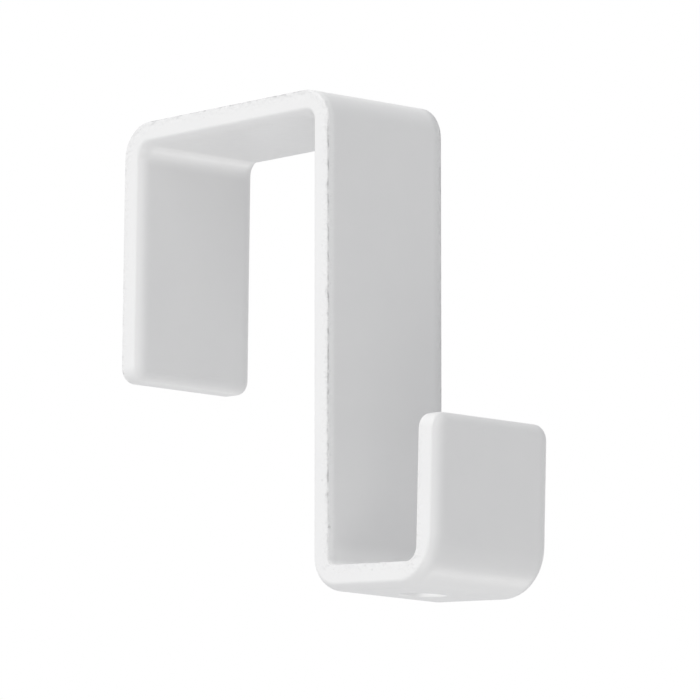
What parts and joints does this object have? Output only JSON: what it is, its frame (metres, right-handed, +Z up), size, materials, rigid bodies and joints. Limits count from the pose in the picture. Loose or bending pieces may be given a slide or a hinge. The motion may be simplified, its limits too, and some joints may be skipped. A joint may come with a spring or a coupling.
{
  "type": "picture hook",
  "caption": "Over-panel picture hook bent from white powder-coated steel strap: a square saddle fits over a panel's top edge, and an upturned cradle with a pierced floor holds a picture's wire.",
  "frame": {"origin": "middle of the panel seat, on the underside of the top of the saddle", "axes": "+Z up, the front plate and the cradle's tip face -Y, X runs across the strap's width"},
  "size_m": [0.0196, 0.0584, 0.064],
  "materials": {
    "white_powder_coat": "semi-gloss white powder coat with a fine even texture"
  },
  "bodies": {
    "root": {"strap_hook": "white_powder_coat"}
  },
  "joints": []
}
